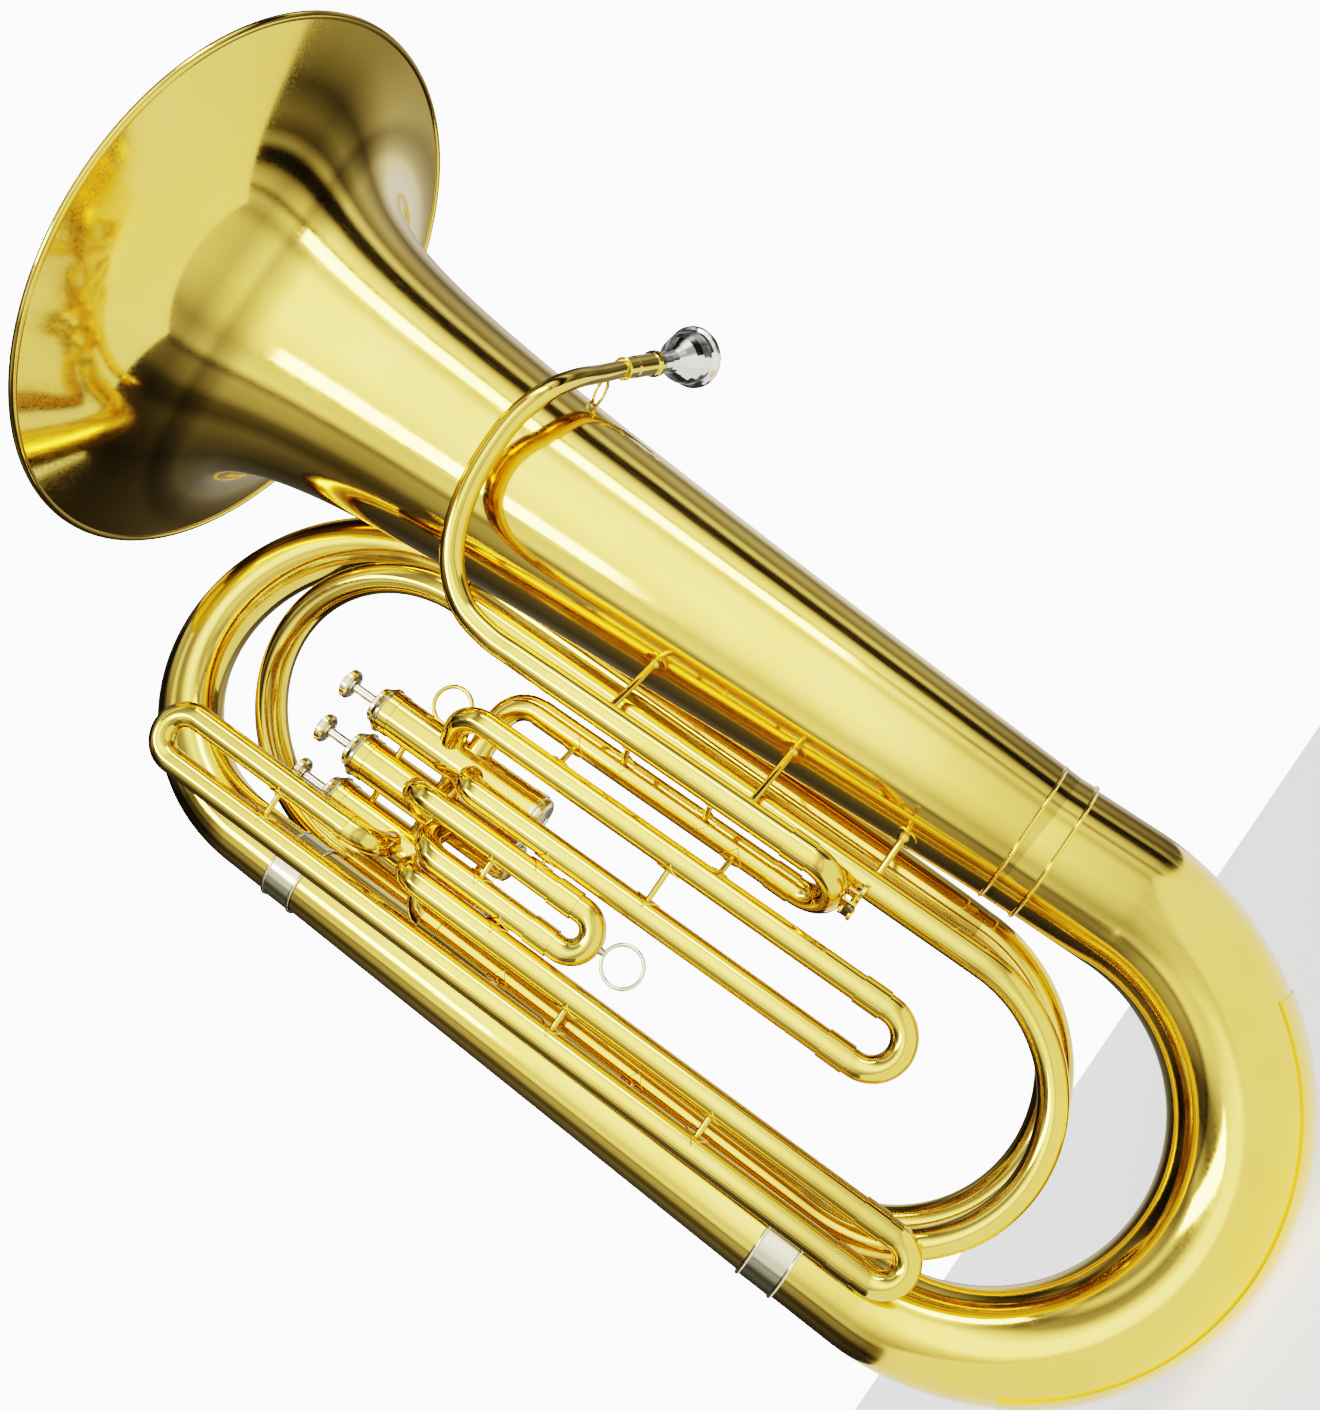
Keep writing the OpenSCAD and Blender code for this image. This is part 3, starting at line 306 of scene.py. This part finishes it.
def sweep(name, stations, sides, sheet_mm=0.9, keep=None):
    """Sweeps an open circle through stations of (centre, direction, radius), in millimetres.
    keep(angle) may drop part of the circle first, so that a strip is swept in its place."""
    stations = [(Vector(p)*MM, Vector(d).normalized(), r*MM) for p, d, r in stations]
    start, way, radius = stations[0]
    bpy.ops.object.select_all(action="DESELECT")
    bpy.ops.mesh.primitive_circle_add(vertices=sides, radius=radius, location=start,
                                      rotation=way.to_track_quat("Z", "Y").to_euler())
    tube = bpy.context.object
    tube.name = name
    if keep:
        bpy.ops.object.mode_set(mode="EDIT")
        bpy.ops.mesh.select_all(action="DESELECT")
        bpy.ops.object.mode_set(mode="OBJECT")
        for v in tube.data.vertices:
            v.select = not keep(math.atan2(v.co.y, v.co.x))
        bpy.ops.object.mode_set(mode="EDIT")
        bpy.ops.mesh.delete(type="VERT")
        bpy.ops.object.mode_set(mode="OBJECT")
    bpy.ops.object.mode_set(mode="EDIT")
    bpy.ops.mesh.select_all(action="SELECT")
    for (p0, d0, r0), (p1, d1, r1) in zip(stations, stations[1:]):
        bpy.ops.mesh.extrude_region_move(TRANSFORM_OT_translate={"value": p1 - p0})
        turn = d0.angle(d1)
        if turn > 1e-6:
            frame_of_turn = d0.cross(d1).to_track_quat("Z", "Y").to_matrix()
            bpy.ops.transform.rotate(value=-turn, orient_axis="Z", orient_matrix=frame_of_turn,
                                     center_override=p1)
        bpy.ops.transform.resize(value=[r1/r0]*3, center_override=p1)
    bpy.ops.mesh.select_all(action="SELECT")
    bpy.ops.mesh.normals_make_consistent(inside=False)
    bpy.ops.object.mode_set(mode="OBJECT")
    bpy.ops.object.transform_apply(location=True, rotation=True, scale=True)
    if sheet_mm:
        wall = tube.modifiers.new("sheet", "SOLIDIFY")
        wall.thickness = sheet_mm*MM
        wall.offset = -1
        bpy.ops.object.modifier_apply(modifier="sheet")
    bpy.ops.object.shade_smooth_by_angle(angle=math.radians(35))
    return tube


def bend(centre, radius, e1, e2, a0, a1, r0, r1, steps):
    """Stations along a circular bend in the plane of e1 and e2, with the width going r0 to r1."""
    centre, e1, e2 = Vector(centre), Vector(e1).normalized(), Vector(e2).normalized()
    way = 1 if a1 > a0 else -1
    out = []
    for i in range(steps + 1):
        t = i/steps
        a = math.radians(a0 + (a1 - a0)*t)
        out.append((centre + radius*(math.cos(a)*e1 + math.sin(a)*e2),
                    way*(-math.sin(a)*e1 + math.cos(a)*e2), r0 + (r1 - r0)*t))
    return out


def curve(points, r0, r1, steps):
    """Stations along a smooth curve through the points, with the width going r0 to r1."""
    p = [Vector(q) for q in points]
    out = []
    for i in range(len(p) - 1):
        a, b, c, d = p[max(i - 1, 0)], p[i], p[i + 1], p[min(i + 2, len(p) - 1)]
        for j in range(steps + (1 if i == len(p) - 2 else 0)):
            t = j/steps
            at = 0.5*(2*b + (c - a)*t + (2*a - 5*b + 4*c - d)*t*t + (3*b - a - 3*c + d)*t**3)
            way = (c - a) + 2*(2*a - 5*b + 4*c - d)*t + 3*(3*b - a - 3*c + d)*t*t
            out.append((at, way, r0 + (r1 - r0)*(i + t)/(len(p) - 1)))
    return out


def hand_in(piece, look, slot_name, body, *nodes):
    """Gives a piece its material, and lets it stand for CAD nodes on a body, which are hidden.
    slot_name is not used.
    """
    piece.data.materials.clear()
    piece.data.materials.append(look)
    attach(piece, body)
    if nodes:
        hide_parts(*nodes)
    print(piece.name, len(piece.data.polygons), "faces")


# %% [markdown]
# ## Bottom bow
# The widest bend of the horn. It leaves the outer branch at 59 mm across and meets the bell at
# 89 mm. A crescent of thicker sheet, the guard, is soldered round its outside where it rests. It
# is swept in the same way, from the outward part of a slightly wider circle.

# %% Bottom bow
X, Y, Z = Vector((1, 0, 0)), Vector((0, 1, 0)), Vector((0, 0, 1))
BRANCH_X, BOW_Z, BOW_R = -140.7, 178.86, 140.7
BOW_SMALL, BELL_FOOT = 29.5, 44.4
bow_stations = ([((BRANCH_X, 0, 229.5), -Z, 28.6)]
                + bend((0, 0, BOW_Z), BOW_R, X, Z, 180, 360, BOW_SMALL, BELL_FOOT, 96)
                + [((140.7, 0, 234), Z, BELL_FOOT)])
bottom_bow = sweep("bottom_bow_shell", bow_stations, 96)
hand_in(bottom_bow, lacquered_brass, "lacquered_brass", "horn", "bottom_bow")

# %% Bow guard
GUARD_REACH, GUARD_WIDTH, GUARD_T = 55, math.radians(48), 1.2
guard_stations = []
for i in range(61):
    a = 270 + GUARD_REACH*(i/30 - 1)
    width = BOW_SMALL + (BELL_FOOT - BOW_SMALL)*(a - 180)/180
    guard_stations += bend((0, 0, BOW_Z), BOW_R, X, Z, a, a + 1, width + GUARD_T + 0.03, 0, 1)[:1]
first_way = guard_stations[0][1]
first_out = guard_stations[0][0] - Vector((0, 0, BOW_Z))
in_circle = first_way.to_track_quat("Z", "Y").inverted() @ first_out
out_angle = math.atan2(in_circle.y, in_circle.x)
guard = sweep("bow_guard_plate", guard_stations, 240, GUARD_T,
              keep=lambda a: math.cos(a - out_angle) > math.cos(GUARD_WIDTH))
hand_in(guard, lacquered_brass, "lacquered_brass", "horn", "bow_guard")

# %% Top bow
left, right = Vector((-137.7, 5.5, 650)), Vector((84, 74, 650))
across = (left - right).normalized()
top_stations = ([((-138.28, 5, 607), Z, 22.8)]
                + bend((left + right)/2, (left - right).length/2, across, Z, 0, 180, 22.5, 18.6, 84))
top_bow = sweep("top_bow_shell", top_stations, 72)
hand_in(top_bow, lacquered_brass, "lacquered_brass", "horn", "top_bow")

# %% Rear leg
rear_leg = sweep("rear_leg_tube", curve([(79.5, 38, 234.5), (80, 39, 289.5), (81.8, 50, 429.5),
                                         (83.5, 64.5, 559.5), (84, 74, 649.5)], 11.7, 18.6, 12), 56)
hand_in(rear_leg, lacquered_brass, "lacquered_brass", "horn", "rear_leg")

# %% Inner top bow
left, right = Vector((-116.8, 36, 602.5)), Vector((66, -37, 602.5))
across = (left - right).normalized()
inner_top_bow = sweep("inner_top_bow_tube", bend((left + right)/2, (left - right).length/2, across,
                                                 Z, 0, 180, 11.5, 9.4, 72), 56)
hand_in(inner_top_bow, lacquered_brass, "lacquered_brass", "horn", "inner_top_bow")

# %% Leadpipe
LEAD = [(58.2, -70, 522.1), (58.2, -70, 545), (58.5, -70, 566), (64, -70.5, 589), (79, -73, 607.5),
        (99, -77, 618.5), (124, -81, 624.5), (150, -83.5, 626), (175, -83, 624.5), (200, -74, 620),
        (217.5, -55.5, 617), (231.5, -31.5, 615), (245.5, -8, 613.7)]
leadpipe = sweep("leadpipe_tube", curve(LEAD, 8.6, 5.6, 10), 48)
hand_in(leadpipe, lacquered_brass, "lacquered_brass", "horn", "leadpipe")

# %% [markdown]
# ## Bell
# The bell is a surface of revolution, spun on a lathe over a steel mandrel. Its wall opens slowly
# up the stack and then sweeps out to the rim. The same ring sweep makes it: the circle only moves
# up the axis and grows, with stations crowding towards the rim, where the curve is tightest.

# %% Bell
RIM_R, WIRE_R, BELL_H = 197.0, 2.6, 640.0
TOP = BELL_H - WIRE_R
GAIN = RIM_R - WIRE_R - 43 - 0.055*TOP
lean = Matrix.Rotation(math.radians(1.25), 3, "Y") @ Matrix.Rotation(math.radians(-1.16), 3, "X")
bell_foot, bell_axis = Vector((140.7, 0, 236)), lean @ Z


def bell_radius(h):
    return 43 + 0.055*h + GAIN*(43/(43 + TOP - h))**1.6


heights = [TOP*(1 - (1 - i/150)**2.2) for i in range(151)]
bell = sweep("bell_shell", [(bell_foot + h*bell_axis, bell_axis, bell_radius(h)) for h in heights],
             180)
hand_in(bell, lacquered_brass, "lacquered_brass", "horn", "bell")

# %% Bell rim
bpy.ops.object.select_all(action="DESELECT")
rim_at = bell_foot + TOP*bell_axis
bpy.ops.mesh.primitive_torus_add(location=rim_at*MM, rotation=lean.to_euler(),
                                 major_radius=(RIM_R - WIRE_R)*MM, minor_radius=WIRE_R*MM,
                                 major_segments=256, minor_segments=24)
rim = bpy.context.object
rim.name = "bell_rim_wire"
bpy.ops.object.transform_apply(location=True, rotation=True, scale=True)
bpy.ops.object.shade_smooth()
hand_in(rim, lacquered_brass, "lacquered_brass", "horn", "bell_rim")

# %% Finish
import json
